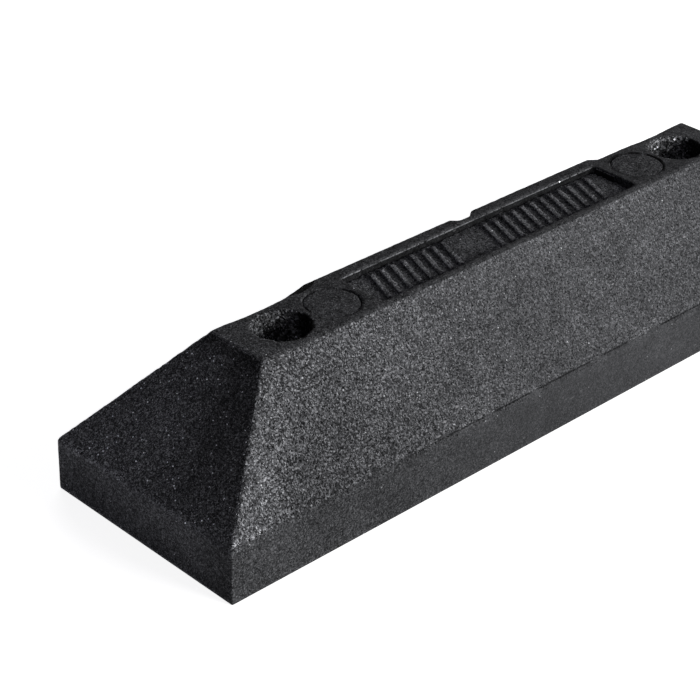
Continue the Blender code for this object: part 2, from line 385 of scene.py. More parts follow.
def math_node(tree, first, second=0.0, operation='MULTIPLY', clamp=False):
    node = add_node(
        tree, 'ShaderNodeMath', {0: first, 1: second}, operation=operation, use_clamp=clamp)
    return node.outputs[0]


plus = partial(math_node, operation='ADD')
minus = partial(math_node, operation='SUBTRACT')
divide = partial(math_node, operation='DIVIDE')
power = partial(math_node, operation='POWER')
larger = partial(math_node, operation='MAXIMUM')
above = partial(math_node, operation='GREATER_THAN')
below = partial(math_node, operation='LESS_THAN')
size_of = partial(math_node, operation='ABSOLUTE')


def times(tree, first, *others):
    for other in others:
        first = math_node(tree, first, other)
    return first


def apart(tree, first, second):
    """How far two values are from each other."""
    return size_of(tree, minus(tree, first, second))


def within(tree, value, low, high):
    """1 where a value lies between two limits, and 0 elsewhere."""
    return times(tree, above(tree, value, low), below(tree, value, high))


def remap(tree, value, low, high, out_low=0.0, out_high=1.0, smooth=True):
    node = add_node(
        tree, 'ShaderNodeMapRange',
        {"Value": value, "From Min": low, "From Max": high, "To Min": out_low, "To Max": out_high},
        interpolation_type='SMOOTHSTEP' if smooth else 'LINEAR')
    return node.outputs["Result"]


def straight(tree, share, low, high):
    """Goes straight from low where the share is 0 to high where it is 1."""
    return remap(tree, share, 0.0, 1.0, low, high, False)


def mix_value(tree, factor, first, second):
    node = add_node(
        tree, 'ShaderNodeMix', {0: factor, 2: first, 3: second}, data_type='FLOAT')
    return node.outputs[0]


def mix_colour(tree, factor, first, second):
    node = add_node(
        tree, 'ShaderNodeMix', {0: factor, 6: first, 7: second}, data_type='RGBA')
    return node.outputs[2]


def vector_node(tree, operation, first, second):
    """A sum with two vectors, or with a vector and a number where the operation is SCALE."""
    other = "Scale" if operation == 'SCALE' else 1
    node = add_node(
        tree, 'ShaderNodeVectorMath', {0: first, other: second}, operation=operation)
    return node.outputs[0]


def shift_vector(tree, vector, colour, amount):
    """A vector moved by up to half of amount each way, as a random colour says."""
    centred = vector_node(tree, 'SUBTRACT', colour, (0.5, 0.5, 0.5))
    return vector_node(tree, 'ADD', vector, vector_node(tree, 'SCALE', centred, amount))


def stretch(tree, vector, scale, turn=(0.0, 0.0, 0.0)):
    node = add_node(
        tree, 'ShaderNodeMapping', {"Vector": vector, "Rotation": turn, "Scale": scale},
        vector_type='POINT')
    return node.outputs[0]


def noise(tree, vector, scale, detail, roughness=0.5):
    inputs = {"Vector": vector, "Scale": scale, "Detail": detail, "Roughness": roughness}
    return add_node(tree, 'ShaderNodeTexNoise', inputs).outputs


def voronoi(tree, vector, scale, feature='F1'):
    inputs = {"Vector": vector, "Scale": scale}
    return add_node(tree, 'ShaderNodeTexVoronoi', inputs, feature=feature).outputs


def channels(tree, colour):
    return add_node(tree, 'ShaderNodeSeparateColor', {0: colour}).outputs


def attribute(tree, name):
    return add_node(tree, 'ShaderNodeAttribute', attribute_name=name).outputs["Fac"]


def patchy(tree, place, width, low, high):
    """1 in some patches of the surface and 0 in the others."""
    return remap(tree, noise(tree, place, 1.0 / width, 2.0)["Fac"], low, high)


def add_sockets(group, in_out, names):
    for name in names:
        kind = 'NodeSocketVector' if name in ("Vector", "Normal") else 'NodeSocketFloat'
        group.interface.new_socket(name, in_out=in_out, socket_type=kind)


def use_group(tree, build, inputs):
    """The outputs of a shared node group, which is built the first time that it is used."""
    name = build.__name__
    if name not in bpy.data.node_groups:
        group = bpy.data.node_groups.new(name, 'ShaderNodeTree')
        add_sockets(group, 'INPUT', inputs)
        results = build(group, group.nodes.new('NodeGroupInput').outputs)
        add_sockets(group, 'OUTPUT', results)
        add_node(group, 'NodeGroupOutput', results)
    return add_node(
        tree, 'ShaderNodeGroup', inputs, node_tree=bpy.data.node_groups[name]).outputs


def bonded_granules(tree, given):
    """Granules with a tone and tilt of their own, and among them pores painted dark as their shade,
    pale dots that also stand in for glints, and painted glints.
    """
    scale = divide(tree, 1.0, given["Grain"])
    wobble = noise(tree, given["Vector"], scale, 2.0, 0.6)["Color"]
    bent = shift_vector(tree, given["Vector"], wobble, times(tree, given["Grain"], 1.1))

    def scattered(spacing, share, inner, outer):
        """Spots in a share of the cells of a coarser lattice."""
        lattice = voronoi(tree, bent, divide(tree, scale, spacing))
        spot = remap(tree, lattice["Distance"], outer, inner)
        return times(tree, spot, below(tree, channels(tree, lattice["Color"])[1], share))

    # The granules are short strands, which lie in bundles that are each turned their own way
    bundles = voronoi(tree, bent, divide(tree, scale, 2.2))
    turn = vector_node(tree, 'SCALE', bundles["Color"], 2.0 * math.pi)
    turned = add_node(
        tree, 'ShaderNodeVectorRotate', {"Vector": bent, "Rotation": turn},
        rotation_type='EULER_XYZ').outputs[0]
    cells = voronoi(tree, vector_node(tree, 'MULTIPLY', turned, STRAND_SHAPE), scale)
    parts = channels(tree, cells["Color"])
    mixed = plus(tree, times(tree, parts[0], 7.0), parts[1])
    number = math_node(tree, times(tree, mixed, 3.7), operation='FRACT')
    dome = remap(tree, cells["Distance"], 0.75, 0.2)
    shaded_pit = scattered(1.25, given["Shaded pits"], 0.28, 0.42)
    speck_and_glint = scattered(1.8, given["Specks and glints"], 0.14, 0.25)
    painted_glint = scattered(2.2, given["Painted glints"], 0.16, 0.28)
    # Painted shade darkens each granule towards its rim and deep in its pores
    tone = times(
        tree, power(tree, given["Spread"], straight(tree, number, -1.0, 1.0)),
        straight(tree, dome, 0.7, 1.05), straight(tree, shaded_pit, 1.0, 0.05))
    # Pale dots, partly standing in for glints, and painted glints, added as brighter colour
    tone = plus(tree, tone, times(tree, speck_and_glint, 3.0))
    tone = plus(tree, tone, times(tree, painted_glint, given["Glint gain"]))
    rise = times(
        tree, dome, straight(tree, number, 0.45, 1.0), straight(tree, shaded_pit, 1.0, 0.0))
    facing = add_node(tree, 'ShaderNodeNewGeometry').outputs["Normal"]
    tilted = shift_vector(tree, facing, cells["Color"], times(tree, given["Tilt"], 2.0))
    unit = add_node(tree, 'ShaderNodeVectorMath', {0: tilted}, operation='NORMALIZE')
    return {
        "Tone": tone, "Height": plus(tree, rise, times(tree, speck_and_glint, 0.4)),
        "Glint": larger(tree, speck_and_glint, above(tree, number, 0.9)), "Normal": unit.outputs[0]}


def stray_flakes(tree, given):
    """Thin stray flakes that lie flat in the skin, in two directions."""
    masks = []
    for turn, long, wide in (((0.5, 0.2, 0.4), 0.0050, 0.0014), ((0.9, -0.4, 2.0), 0.0036, 0.0016)):
        laid = stretch(tree, given["Vector"], (1.0 / long, 1.0 / wide, 1.0 / wide), turn)
        cells = voronoi(tree, laid, 1.0)
        least = minus(tree, 1.0, given["Share"])
        picked = above(tree, channels(tree, cells["Color"])[0], least)
        masks.append(times(tree, picked, remap(tree, cells["Distance"], 0.44, 0.34)))
    return {"Mask": larger(tree, *masks)}


def pressed_mottle(tree, given):
    """Slow, cloudy change of tone, as where the mix was pressed harder or handled."""
    cloud = noise(tree, given["Vector"], divide(tree, 1.0, given["Width"]), 3.0, 0.55)["Fac"]
    swing = times(tree, minus(tree, cloud, 0.5), times(tree, given["Amount"], 4.0))
    return {"Tone": plus(tree, swing, 1.0)}


def struck_streaks(tree, given):
    """Fine smears that run along the stop, as where the top was struck off before it set."""
    bend = noise(tree, given["Vector"], 90.0, 2.0)["Color"]
    bent = shift_vector(tree, given["Vector"], bend, 0.012)
    smear = noise(tree, stretch(tree, bent, (240.0, 1500.0, 1500.0)), 1.0, 3.0, 0.65)["Fac"]
    swing = times(tree, minus(tree, smear, 0.5), 5.0, given["Amount"])
    return {"Tone": plus(tree, swing, 1.0)}


def hairline_cracks(tree, given):
    """Hairline cracks, broken into short lengths."""
    bend = noise(tree, given["Vector"], 160.0, 3.0)["Color"]
    bent = shift_vector(tree, given["Vector"], bend, 0.014)
    to_edge = voronoi(tree, bent, 1.0 / CRACK_SPACING, 'DISTANCE_TO_EDGE')["Distance"]
    line = below(tree, to_edge, CRACK_WIDTH / CRACK_SPACING)
    unbroken = remap(tree, noise(tree, given["Vector"], 130.0, 1.0)["Fac"], 0.46, 0.52)
    return {"Mask": times(tree, line, unbroken)}


def zinc_plating(tree, given):
    """Plated steel: faint crystals, fine scratches and dull patches."""
    crystal = channels(tree, voronoi(tree, given["Vector"], 2600.0)["Color"])[0]
    patch = noise(tree, given["Vector"], 160.0, 4.0, 0.6)["Fac"]
    laid = stretch(tree, given["Vector"], (260.0, 260.0, 6000.0))
    scratch = noise(tree, laid, 1.0, 2.0)["Fac"]
    dull = times(tree, remap(tree, patch, 0.42, 0.66), given["Dullness"])
    tone = times(tree, straight(tree, crystal, 0.93, 1.04), straight(tree, dull, 1.0, 0.66))
    rough = plus(tree, times(tree, dull, 0.35), 0.24)
    rough = plus(tree, rough, remap(tree, scratch, 0.3, 0.7, 0.0, 0.14))
    height = plus(tree, times(tree, crystal, 0.3), scratch)
    return {"Tone": tone, "Roughness": rough, "Height": height}


# Materials

def clear_tree(owner):
    owner.use_nodes = True
    owner.node_tree.nodes.clear()
    return owner.node_tree


def new_material(name):
    material = bpy.data.materials.new(name)
    tree = clear_tree(material)
    shader = add_node(tree, 'ShaderNodeBsdfPrincipled')
    add_node(tree, 'ShaderNodeOutputMaterial', {0: shader.outputs[0]})
    place = add_node(tree, 'ShaderNodeTexCoord').outputs["Object"]
    return material, tree, shader, place


def add_bump(tree, shader, inputs):
    bump = add_node(tree, 'ShaderNodeBump', inputs)
    tree.links.new(bump.outputs[0], shader.inputs["Normal"])


def finish_rubber(tree, shader, colour, mix, polished):
    """Gives a rubber its colour, its duller and more polished granules and their bumps."""
    tree.links.new(colour, shader.inputs["Base Color"])
    tree.links.new(straight(tree, mix["Glint"], 0.8, polished), shader.inputs["Roughness"])
    add_bump(tree, shader, {
        "Strength": BUMP_STRENGTH, "Distance": BUMP_DEPTH,
        "Height": mix["Height"], "Normal": mix["Normal"]})
    shader.inputs["Specular IOR Level"].default_value = RUBBER_SHINE


def block_faces(tree, place):
    """Coordinates on the block, and masks that tell its faces apart."""
    face = SimpleNamespace(edge=attribute(tree, "edge"), crumbs_and_light=attribute(tree, "crumbs_and_light"))
    face.x, face.y, face.z = add_node(tree, 'ShaderNodeSeparateXYZ', {0: place}).outputs
    face.along = size_of(tree, face.x)
    across = size_of(tree, face.y)
    face.coarse = remap(tree, face.x, COARSE_UP_TO, EVEN_FROM, 1.0, LEAST_COARSE, False)
    # The bend above the skirt is ragged and runs a little out of level
    low, high = SKIRT_HEIGHT - 0.0012, SKIRT_HEIGHT + 0.0024
    face.level = remap(tree, face.y, BLOCK_HIGH.y, BLOCK_LOW.y, low, high, False)
    uneven = noise(tree, place, 330.0, 2.0)["Fac"]
    face.bend = plus(tree, face.level, remap(tree, uneven, 0.3, 0.7, -0.0012, 0.0012, False))
    face.on_skirt = below(tree, face.z, face.bend)
    # Where the hips between the long and the end slopes lie at this height
    face.rise = remap(tree, face.z, SKIRT_HEIGHT, HEIGHT, smooth=False)
    face.hip_along = straight(tree, face.rise, BLOCK_HIGH.x, TOP_HALF_LENGTH)
    hip_across = straight(tree, face.rise, BLOCK_HIGH.y, TOP_HALF_WIDTH)
    face.on_long = above(tree, across, minus(tree, hip_across, 0.0015))
    face.side = divide(tree, face.y, hip_across)
    face.in_recess = times(
        tree, within(tree, face.z, PANEL_LOW.z, HEIGHT - TOP_SKIN),
        below(tree, face.along, PANEL_HIGH.x + 0.002), below(tree, across, PANEL_HIGH.y + 0.0016))
    on_flat = times(
        tree, above(tree, face.z, HEIGHT - 0.0035),
        below(tree, face.along, TOP_HALF_LENGTH), below(tree, across, TOP_HALF_WIDTH))
    on_top = larger(tree, face.in_recess, on_flat)
    on_top = larger(tree, on_top, above(tree, face.z, HEIGHT - TOP_SKIN))
    face.on_wall = above(tree, attribute(tree, "torn"), 0.5)
    face.on_top = minus(tree, on_top, face.on_wall, clamp=True)
    face.fine = larger(tree, face.on_skirt, face.on_top)
    return face


def from_coarse(tree, face, even, rough):
    """Goes from one value where the mix is even to another where it is coarse."""
    return remap(tree, face.coarse, LEAST_COARSE, 1.0, even, rough, False)


def block_granules(tree, place, face, grain):
    """The granules of the block, which differ from face to face."""

    def by_face(end, long, fine, wall):
        slope = mix_value(tree, face.on_long, end, long)
        return mix_value(tree, face.on_wall, mix_value(tree, face.fine, slope, fine), wall)

    shaded_pits = from_coarse(tree, face, 0.34, 0.55)
    tilt = from_coarse(tree, face, 0.28, 0.52)
    painted_glints = from_coarse(tree, face, 0.010, 0.028)
    return use_group(tree, bonded_granules, {
        "Vector": place,
        "Grain": by_face(END_GRAIN * grain, grain, FINE_GRAIN * grain, WALL_GRAIN * grain),
        # Pores get painted shade; the pale dots partly stand in for glints, and the bright ones are
        # painted glints
        "Shaded pits": by_face(shaded_pits, shaded_pits, from_coarse(tree, face, 0.20, 0.42), 0.75),
        "Specks and glints": by_face(
            0.75, from_coarse(tree, face, 0.10, 0.26), 0.06, times(tree, face.crumbs_and_light, 0.9)),
        # Share and brightness of the painted glints on each face
        "Painted glints": mix_value(tree, face.fine, mix_value(tree, face.on_long, 0.07, painted_glints), 0.005),
        "Glint gain": mix_value(tree, face.on_long, END_GLINT_GAIN, GLINT_GAIN),
        "Spread": by_face(
            4.1, from_coarse(tree, face, 2.35, 3.9), from_coarse(tree, face, 1.5, 2.5), 5.5),
        "Tilt": mix_value(tree, face.fine, tilt, 0.22)})


def face_tone_and_painted_light(tree, face):
    """The tone of each face: partly the mix's own, as it was pressed against different parts of the
    mould, and partly painted light and shade, each face made lighter or darker for how the lamps fall
    on it.
    """
    x, z, side, rise = face.x, face.z, face.side, face.rise
    # Painted shade: dark towards the front, and darkest under the edge of the top
    end_slope = times(
        tree, remap(tree, side, -0.45, 0.15, 0.66, 1.10), remap(tree, side, 0.5, 0.9, 1.0, 0.88),
        remap(tree, rise, 0.0, 1.0, 1.38, 0.90), remap(tree, rise, 0.84, 0.98, 1.0, 0.56))
    # Painted light and shade: dark towards the front and paler upwards, with a painted highlight as a
    # pale line along the foot
    end_skirt = times(
        tree, remap(tree, side, -0.9, -0.4, 0.5, 1.0),
        remap(tree, z, 0.006, SKIRT_HEIGHT, 1.4, 1.9), remap(tree, z, 0.0026, 0.0010, 1.0, 1.7))
    # Paler upwards, and a little darker towards both ends
    long_slope = times(
        tree, remap(tree, rise, 0.0, 1.0, 0.87, 1.12), remap(tree, x, -0.235, -0.10, 0.86, 1.05),
        remap(tree, x, 0.06, 0.19, 1.0, 0.88), from_coarse(tree, face, 0.99, 1.0))
    long_skirt = times(tree, from_coarse(tree, face, 1.08, 1.0), 0.615)
    # Paler towards both ends, with a painted highlight in a strip along the left edge
    left = -TOP_HALF_LENGTH
    top = times(
        tree, remap(tree, face.along, 0.10, 0.19, 0.66, 0.77),
        remap(tree, x, 0.10, 0.19, 1.0, 1.06), remap(tree, x, left, left + 0.019, 0.98, 0.90),
        remap(tree, x, left, left + 0.0045, 1.45, 1.0))
    slope = mix_value(tree, face.on_long, end_slope, long_slope)
    skirt = mix_value(tree, face.on_long, end_skirt, long_skirt)
    tone = mix_value(tree, face.on_skirt, mix_value(tree, face.on_top, slope, top), skirt)
    # Painted shade: black in the depth of the holes; paler where their walls have crumbled, on the
    # side that the key light reaches, which is partly painted light
    return mix_value(tree, face.on_wall, tone, straight(tree, face.crumbs_and_light, 0.035, 0.76))


def bend_wear_and_highlight(tree, place, face):
    """Pale rubbing and a painted highlight along the bend above the skirt, pale rubbing by the hips,
    and the broken parting line.
    """
    from_bend = apart(tree, face.z, face.bend)
    # Along the bend the pale grains are partly rubbing and partly a painted highlight on the convex
    # edge
    end_rub_and_highlight = times(
        tree, minus(tree, 1.0, face.on_long), remap(tree, from_bend, 0.0022, 0.0004),
        patchy(tree, place, 0.016, 0.36, 0.56), remap(tree, face.side, -0.4, 0.6, 0.25, 0.75))
    from_hip = minus(tree, face.hip_along, face.along)
    at_hip = times(tree, face.on_long, remap(tree, from_hip, 0.030, 0.004))
    long_rub_and_highlight = times(
        tree, face.on_long, remap(tree, from_bend, 0.005, 0.0),
        patchy(tree, place, 0.014, 0.40, 0.62), straight(tree, at_hip, 0.3, 0.8))
    hip_wear = times(
        tree, face.on_long, remap(tree, from_hip, 0.046, 0.012), minus(tree, 1.0, face.fine),
        remap(tree, face.rise, 0.4, 1.0, 0.75, 0.05))
    parting = times(
        tree, face.on_long, below(tree, apart(tree, face.z, face.level), 0.0004),
        remap(tree, face.x, -0.17, -0.10), patchy(tree, place, 0.020, 0.38, 0.46))
    rubs_and_highlights = [plus(tree, 1.0, rub) for rub in (end_rub_and_highlight, long_rub_and_highlight, hip_wear)]
    return times(tree, straight(tree, parting, 1.0, 0.35), *rubs_and_highlights)


def recess_painted_light(tree, place, face):
    """Painted shade on the rear wall of the recess, with a thin, broken painted highlight along its
    top edge.
    """
    shaded_rear_wall = times(tree, face.in_recess, above(tree, face.y, 0.0))
    painted_highlight_line = times(
        tree, shaded_rear_wall, above(tree, face.z, HEIGHT - 0.0019),
        patchy(tree, place, 0.0035, 0.36, 0.50))
    return times(tree, straight(tree, shaded_rear_wall, 1.0, 0.4), straight(tree, painted_highlight_line, 1.0, 9.0))


def seam_shade(tree, place, face):
    """Painted shade in the open, ragged seams round the blanks, most of all round the right one."""
    from_blank = minus(tree, face.along, BLANK_CENTRE)
    squares = plus(tree, times(tree, from_blank, from_blank), times(tree, face.y, face.y))
    from_seam = apart(tree, power(tree, squares, 0.5), BLANK_RADIUS + 0.0006)
    seam = times(
        tree, face.on_top, remap(tree, from_seam, 0.0015, 0.0006),
        patchy(tree, place, 0.006, 0.40, 0.52), remap(tree, face.x, -0.10, 0.10, 0.45, 0.85, False))
    return minus(tree, 1.0, seam)


def shaded_crescent(tree, face):
    """Painted shade in a crescent along the outer edge of the left lip, where the lip starts."""
    lip_edge = remap(
        tree, face.x, LIP_START, LIP_FULL, TOP_HALF_WIDTH, TOP_HALF_WIDTH + LIP_REACH, False)
    width = times(
        tree, remap(tree, face.x, LIP_START, -0.138, 0.0, 0.0052),
        remap(tree, face.x, LIP_SHADE_END, -0.132))
    dark = times(
        tree, above(tree, face.y, minus(tree, lip_edge, width)),
        within(tree, face.x, LIP_START, LIP_SHADE_END), face.on_top)
    return straight(tree, dark, 1.0, 0.10)


def block_rubber(settings):
    """Coarse granulate on the slopes, finer on the skirts and the top, torn in the holes."""
    material, tree, shader, place = new_material("Block granulate")
    face = block_faces(tree, place)
    mix = block_granules(tree, place, face, settings.grain)
    cloud = use_group(tree, pressed_mottle, {"Vector": place, "Width": 0.06, "Amount": 0.2})
    blotch = use_group(tree, pressed_mottle, {"Vector": place, "Width": 0.017, "Amount": 0.15})
    streaks = use_group(
        tree, struck_streaks, {"Vector": place, "Amount": times(tree, face.on_top, 0.5)})
    cracks = use_group(tree, hairline_cracks, {"Vector": place})
    flakes = use_group(
        tree, stray_flakes, {"Vector": place, "Share": times(tree, face.coarse, 0.009)})
    tone = times(
        tree, mix["Tone"], cloud["Tone"], blotch["Tone"], streaks["Tone"], face_tone_and_painted_light(tree, face),
        remap(tree, face.edge, 0.2, 1.0, 1.0, 1.25),
        straight(tree, times(tree, cracks["Mask"], face.on_top), 1.0, 0.55),
        bend_wear_and_highlight(tree, place, face), recess_painted_light(tree, place, face),
        seam_shade(tree, place, face), shaded_crescent(tree, face))
    # Painted glints on the crumbled walls that the key light reaches
    tone = plus(tree, tone, times(tree, mix["Glint"], face.on_wall, face.crumbs_and_light, 1.1))
    pale = times(
        tree, flakes["Mask"], straight(tree, face.fine, 0.55, 0.15), minus(tree, 1.0, face.on_wall))
    colour = mix_colour(
        tree, pale, vector_node(tree, 'SCALE', settings.rubber, tone), (*settings.fleck, 1.0))
    finish_rubber(tree, shader, colour, mix, polished=0.42)
    return material


def trim_rubber(name, settings, tone_level, specks_and_glints):
    """Finer, smeared granulate of the tread panel and the blanks, paler where it is raised."""
    material, tree, shader, place = new_material(name)
    # The trim's granules also get pores painted dark as shade, pale dots that partly stand in for
    # glints, and painted glints
    mix = use_group(tree, bonded_granules, {
        "Vector": place, "Grain": FINE_GRAIN * settings.grain, "Shaded pits": 0.32, "Specks and glints": specks_and_glints,
        "Painted glints": 0.1 * specks_and_glints, "Glint gain": GLINT_GAIN, "Spread": 2.3, "Tilt": 0.3})
    cloud = use_group(tree, pressed_mottle, {"Vector": place, "Width": 0.02, "Amount": 0.2})
    streaks = use_group(tree, struck_streaks, {"Vector": place, "Amount": 0.4})
    cracks = use_group(tree, hairline_cracks, {"Vector": place})
    height = add_node(tree, 'ShaderNodeSeparateXYZ', {0: place}).outputs[2]
    tone = times(
        tree, mix["Tone"], cloud["Tone"], streaks["Tone"],
        remap(tree, height, PANEL_HIGH.z - 0.0018, PANEL_HIGH.z, 0.82, 1.3),
        straight(tree, cracks["Mask"], 1.0, 0.6),
        remap(tree, attribute(tree, "edge"), 0.2, 1.0, tone_level, 1.3 * tone_level))
    colour = vector_node(tree, 'SCALE', settings.rubber, tone)
    finish_rubber(tree, shader, colour, mix, polished=0.45)
    return material


def plated_steel(name, settings, tone_level, dullness):
    """Zinc plated steel of the fixings."""
    material, tree, shader, place = new_material(name)
    zinc = use_group(tree, zinc_plating, {"Vector": place, "Dullness": dullness})
    colour = vector_node(tree, 'SCALE', settings.zinc, times(tree, zinc["Tone"], tone_level))
    tree.links.new(colour, shader.inputs["Base Color"])
    tree.links.new(zinc["Roughness"], shader.inputs["Roughness"])
    add_bump(tree, shader, {"Strength": 0.35, "Distance": 0.00006, "Height": zinc["Height"]})
    shader.inputs["Metallic"].default_value = 1.0
    return material


# Pieces of the stop

def dress(piece, body, node, material):
    piece.data.materials.clear()
    piece.data.materials.append(material)
    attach(piece, body)
    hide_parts(node)


def roughen(mesh, size, relief, chip, seed, hold):
    """Softens a skin's edges and gives it granules, and returns the points and the edge mask.

    hold is 0 where the skin keeps its place and 1 where it may move freely."""
    edges = read_array(mesh.edges, "vertices", 2, np.int32)
    points = soften(read_points(mesh), edges, 1, 0.35)
    write_points(mesh, points)
    normals = read_normals(mesh)
    bulge = np.einsum("ij,ij->i", points - soften(points, edges, 5), normals)
    edge = np.clip(bulge / SHARP_BULGE, 0.0, 1.0)
    height = 0.6 * lumps(points, size, seed) + 0.4 * lumps(points, 0.62 * size, seed + 101)
    crumble = np.clip(lumps(points, 1.15 * size, seed + 202) + 0.12, 0.0, 1.0)
    move = relief * (height - 0.1) - chip * edge * crumble
    return points + normals * (move * hold)[:, None], edge


def make_trim(node, name, spacing, held_up_to, free_from, lump, relief, chip, seed):
    """A roughened piece that keeps its place up to one height and is free above another."""
    piece = even_skin(node, name, spacing)
    hold = ease(read_points(piece.data)[:, 2], held_up_to, free_from)
    points, edge = roughen(piece.data, lump, relief, chip, seed, hold)
    write_points(piece.data, points)
    write_mask(piece.data, "edge", edge)
    return piece


class WHEELSTOP_OT_block(Operator):
    """Make the moulded block of rubber granulate"""

    bl_idname = "wheel_stop.block"
    bl_label = "Block"

    def execute(self, context):
        settings = context.scene.stop_granulate
        piece = even_skin("rubber_block", "granulate_block", settings.block_spacing)
        mesh = piece.data
        start = read_points(mesh)
        torn, hold = self.looseness(start)
        points, edge = roughen(
            mesh, settings.lump, settings.relief, settings.chip, settings.seed, hold)
        small, large = TEAR_LUMPS
        ragged = 0.55 * lumps(start, small, settings.seed + 303)
        ragged += 0.45 * lumps(start, large, settings.seed + 404)
        points += read_normals(mesh) * (settings.tear * torn * (ragged - 0.12))[:, None]
        points, broken, crumbs_and_light = self.break_rims(start, points, ragged, settings.rim_break)
        points[:, 2] -= settings.sag * self.thin_webs(start)
        points[:, 2] = np.where(start[:, 2] < 0.0006, 0.0, np.maximum(points[:, 2], 0.0))
        write_points(mesh, points)
        write_mask(mesh, "edge", edge)
        write_mask(mesh, "torn", np.maximum(torn, broken > 0.25))
        write_mask(mesh, "crumbs_and_light", crumbs_and_light)
        thin = piece.modifiers.new("Thin the skin", 'DECIMATE')
        mesh.calc_loop_triangles()
        thin.ratio = min(1.0, settings.block_faces / len(mesh.loop_triangles))
        apply_modifiers(piece)
        dress(piece, "block", "rubber_block", block_rubber(settings))
        return {'FINISHED'}

    def looseness(self, start):
        """Which points are on the torn walls of the holes, and how freely each point may move."""
        x, y, z = start.T
        axis_reach = np.min([np.hypot(x - centre, y) for centre in HOLE_CENTRES], 0)
        in_hole = axis_reach < HOLE_RADIUS + WALL_SKIN
        above_ledge = ease(z, LEDGE_HEIGHT + 0.002, LEDGE_HEIGHT + 0.006)
        skirt = 1.0 - ease(z, SKIRT_HEIGHT - 0.002, SKIRT_HEIGHT + 0.002)
        hold = 1.0 - SKIRT_STIFFNESS * skirt
        hold *= ease(z, 0.0004, 0.003) * (1.0 - TOP_STIFFNESS * ease(z, HEIGHT - 0.002, HEIGHT))
        hold[in_hole] *= above_ledge[in_hole]
        recess = (np.abs(x) < PANEL_HIGH.x + 0.001) & (np.abs(y) < PANEL_HIGH.y + 0.001)
        recess &= (z < HEIGHT - 0.0005) & (z > PANEL_LOW.z - 0.002)
        hold[recess] *= RECESS_LOOSENESS
        return in_hole * above_ledge, hold

    def thin_webs(self, start):
        """1 on the webs of the top between the holes and the rear edge, and 0 elsewhere."""
        x, y, z = start.T
        reach = np.min([np.abs(x - centre) for centre in HOLE_CENTRES], 0)
        share = 1.0 - ease(reach, 0.006, 0.026)
        return share * ease(y, 0.006, 0.017) * ease(z, HEIGHT - 0.012, HEIGHT - 0.001)

    def break_rims(self, start, points, ragged, depth):
        """Crumbles the rear left of each hole.

        Returns the points, the broken rims and the crumbly upper walls on the side that the key light
        reaches, a mask that also carries painted light."""
        z = start[:, 2]
        broken = np.zeros(len(start))
        crumbs_and_light = np.zeros(len(start))
        for centre in HOLE_CENTRES:
            away = start[:, :2] - (centre, 0.0)
            reach = np.linalg.norm(away, axis=1)
            outward = away / np.maximum(reach, 1e-6)[:, None]
            towards = outward @ RIM_BREAK_SIDE
            width = depth * (1.0 + 1.2 * ragged)
            near = 1.0 - ease(reach - HOLE_RADIUS, 0.0, np.maximum(width, 0.0003))
            high = ease(z, HEIGHT - 2.5 * depth, HEIGHT - 0.001)
            share = ease(towards, 0.1, 0.75) * near * high * (reach > HOLE_RADIUS - 0.002)
            sink = depth * share * np.clip(0.45 + ragged, 0.0, 1.0)
            spread = 0.5 * depth * share * np.clip(0.3 + ragged, 0.0, 1.0)
            points[:, 2] -= sink
            points[:, :2] += outward * spread[:, None]
            broken = np.maximum(broken, share)
            upper = ease(z, HEIGHT - 0.028, HEIGHT - 0.014)
            inside = 1.0 - 0.6 * ease(reach - HOLE_RADIUS, 0.0002, 0.0015)
            # The crumbly sector lies on the side that the key light reaches, so its paler colour is
            # partly painted light
            sector = ease(towards + 0.4 * ragged, -0.6, 0.0) * (reach < HOLE_RADIUS + 0.004)
            crumbs_and_light = np.maximum(crumbs_and_light, sector * upper * inside)
        return points, broken, crumbs_and_light


class WHEELSTOP_OT_tread(Operator):
    """Make the ribbed tread panel in the recess of the top"""

    bl_idname = "wheel_stop.tread"
    bl_label = "Tread panel"

    def execute(self, context):
        settings = context.scene.stop_granulate
        piece = make_trim(
            "top_panel", "tread_panel", settings.trim_spacing, PANEL_LOW.z + 0.0005,
            PANEL_LOW.z + 0.002, lump=0.0026, relief=0.0009, chip=0.0013, seed=settings.seed + 1)
        # The tread's tone level is raised as painted light, to lighten the shaded recess
        rubber = trim_rubber("Tread granulate", settings, tone_level=1.28, specks_and_glints=0.15)
        dress(piece, "block", "top_panel", rubber)
        return {'FINISHED'}


class WHEELSTOP_OT_blanks(Operator):
    """Make the two round blanks that fill the unused pockets"""

    bl_idname = "wheel_stop.blanks"
    bl_label = "Blanks"

    def execute(self, context):
        settings = context.scene.stop_granulate
        rubber = trim_rubber("Blank granulate", settings, tone_level=0.53, specks_and_glints=0.06)
        for number, side in enumerate(SIDES):
            piece = make_trim(
                f"{side}_disc", f"{side}_blank", settings.trim_spacing, HEIGHT - 0.006,
                HEIGHT - 0.003, lump=0.0042, relief=0.00022, chip=0.0017,
                seed=settings.seed + 21 + number)
            dress(piece, "block", f"{side}_disc", rubber)
        return {'FINISHED'}


def ring_skin(name, rings, closed):
    """A smooth skin through rings of points, which close into a loop or else get end caps."""
    shape = bmesh.new()
    rings = [[shape.verts.new(point) for point in ring] for ring in rings]
    following = rings[1:] + rings[:1] if closed else rings[1:]
    for here, there in zip(rings, following):
        for step in range(len(here)):
            shape.faces.new((here[step - 1], there[step - 1], there[step], here[step]))
    if not closed:
        shape.faces.new(rings[0])
        shape.faces.new(rings[-1])
    bmesh.ops.recalc_face_normals(shape, faces=shape.faces)
    mesh = bpy.data.meshes.new(name)
    shape.to_mesh(mesh)
    shape.free()
    mesh.shade_smooth()
    mesh.set_sharp_from_angle(angle=SHARP_ANGLE)
    return link_object(name, mesh)


